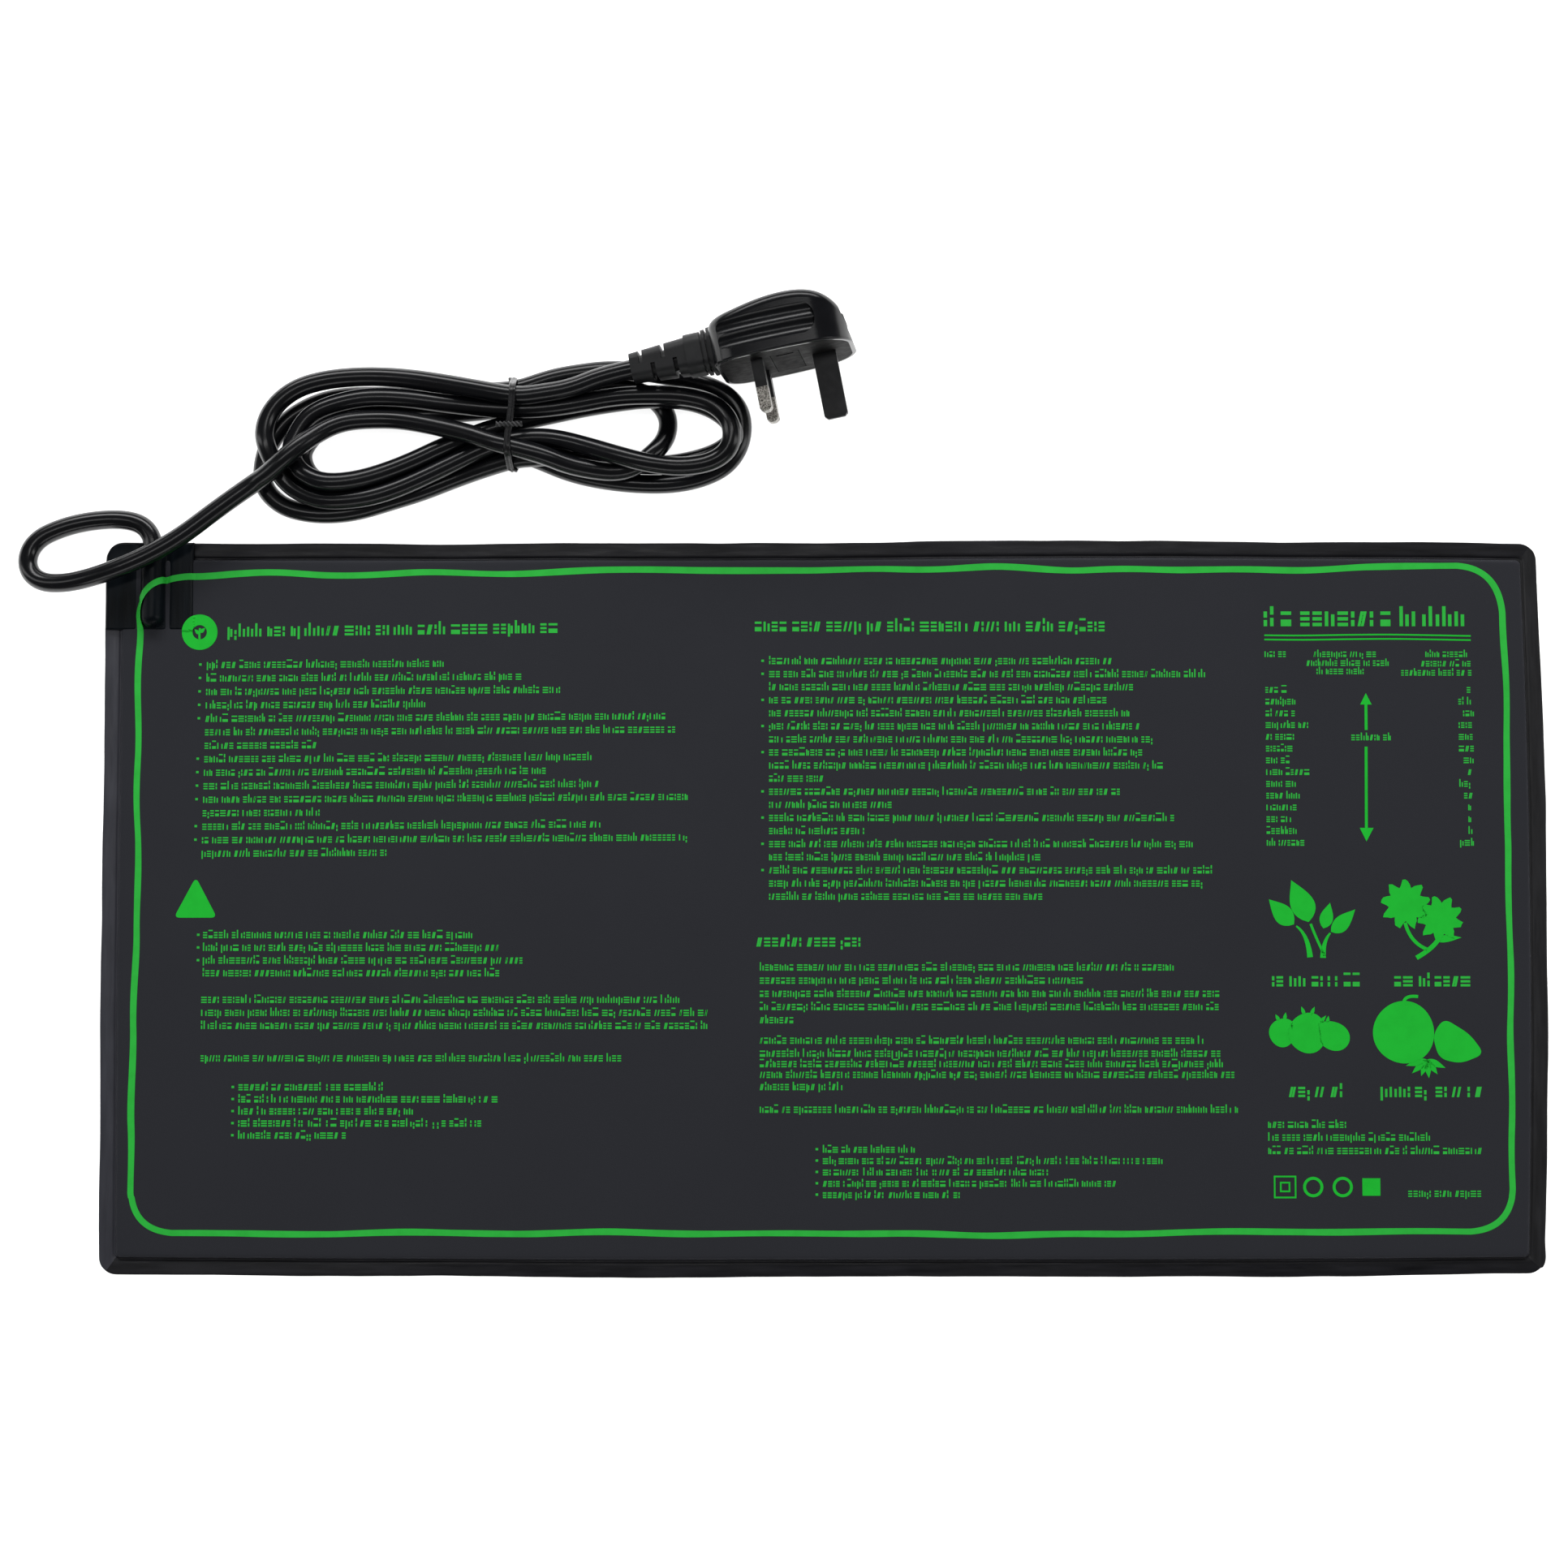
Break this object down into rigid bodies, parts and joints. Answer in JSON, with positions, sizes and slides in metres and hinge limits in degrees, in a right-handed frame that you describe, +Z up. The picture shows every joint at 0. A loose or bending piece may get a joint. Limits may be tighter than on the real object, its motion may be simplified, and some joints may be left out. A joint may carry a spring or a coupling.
{
  "type": "seedling heat mat",
  "caption": "Thin welded heating mat for seed trays, with a moulded cord entry in one corner, a mains cord tied in a hank and a fused three-pin plug.",
  "frame": {"origin": "centre of the mat's footprint, on the surface the mat lies on; the cord, its hank and the plug aren't counted", "axes": "+X along the mat's long side, away from the corner with the cord entry; +Y towards the long side that the cord leaves by; +Z up out of the printed face"},
  "size_m": [0.5301, 0.3341, 0.0486],
  "materials": {
    "cover_film": "charcoal PVC film, fine matt texture",
    "moulded_patch": "near-black soft PVC, satin",
    "foam": "pale closed-cell foam",
    "wire_insulation": "red silicone-insulated heating wire",
    "foil": "bright foil",
    "cord_sheath": "near-black PVC sheath, soft sheen",
    "steel": "plated steel ferrule",
    "core_brown": "brown insulation",
    "core_blue": "blue insulation",
    "splice_sleeve": "pale crimp sleeve",
    "tie": "black coated wire tie",
    "plug_shell": "black moulded PVC, satin",
    "plug_face": "dark grey face, fine texture",
    "relief_rubber": "black moulded sleeve",
    "pin_metal": "nickel-plated brass, brushed",
    "pin_plastic": "black nylon",
    "brass_strip": "plain brass strip",
    "carrier_plastic": "dark grey plastic, fine texture",
    "fuse_ceramic": "pale unglazed ceramic",
    "cap_metal": "bright plated metal"
  },
  "bodies": {
    "mat_and_plug": {"bottom_cover": "cover_film", "top_cover": "cover_film", "entry_patch": "moulded_patch", "insulation_pad": "foam", "heating_wire": "wire_insulation", "heat_spreader_foil": "foil", "mat_end_sheath": "cord_sheath", "cord_ferrule": "steel", "mat_live_core": "core_brown", "mat_neutral_core": "core_blue", "live_splice": "splice_sleeve", "neutral_splice": "splice_sleeve", "power_cord": "cord_sheath", "cord_hank": "cord_sheath", "cord_tie": "tie", "power_cord_plug_end": "cord_sheath", "plug_body": "plug_shell", "plug_insert": "plug_face", "plug_strain_relief": "relief_rubber", "plug_end_sheath": "cord_sheath", "plug_live_core": "core_brown", "plug_neutral_core": "core_blue", "live_pin": "pin_metal", "neutral_pin": "pin_metal", "earth_pin": "pin_plastic", "live_pin_sleeve": "pin_plastic", "neutral_pin_sleeve": "pin_plastic", "pin_fuse_clip": "brass_strip", "cord_fuse_clip": "brass_strip"},
    "fuse_drawer": {"fuse_carrier": "carrier_plastic", "fuse_tube": "fuse_ceramic", "fuse_end_caps": "cap_metal", "fuse_link": "cap_metal"}
  },
  "joints": [
    {"name": "fuse_slide", "type": "slide", "parent": "mat_and_plug", "child": "fuse_drawer", "axis": [0.1908, -0.9816, 0], "range_m": [0, 0.012]}
  ]
}
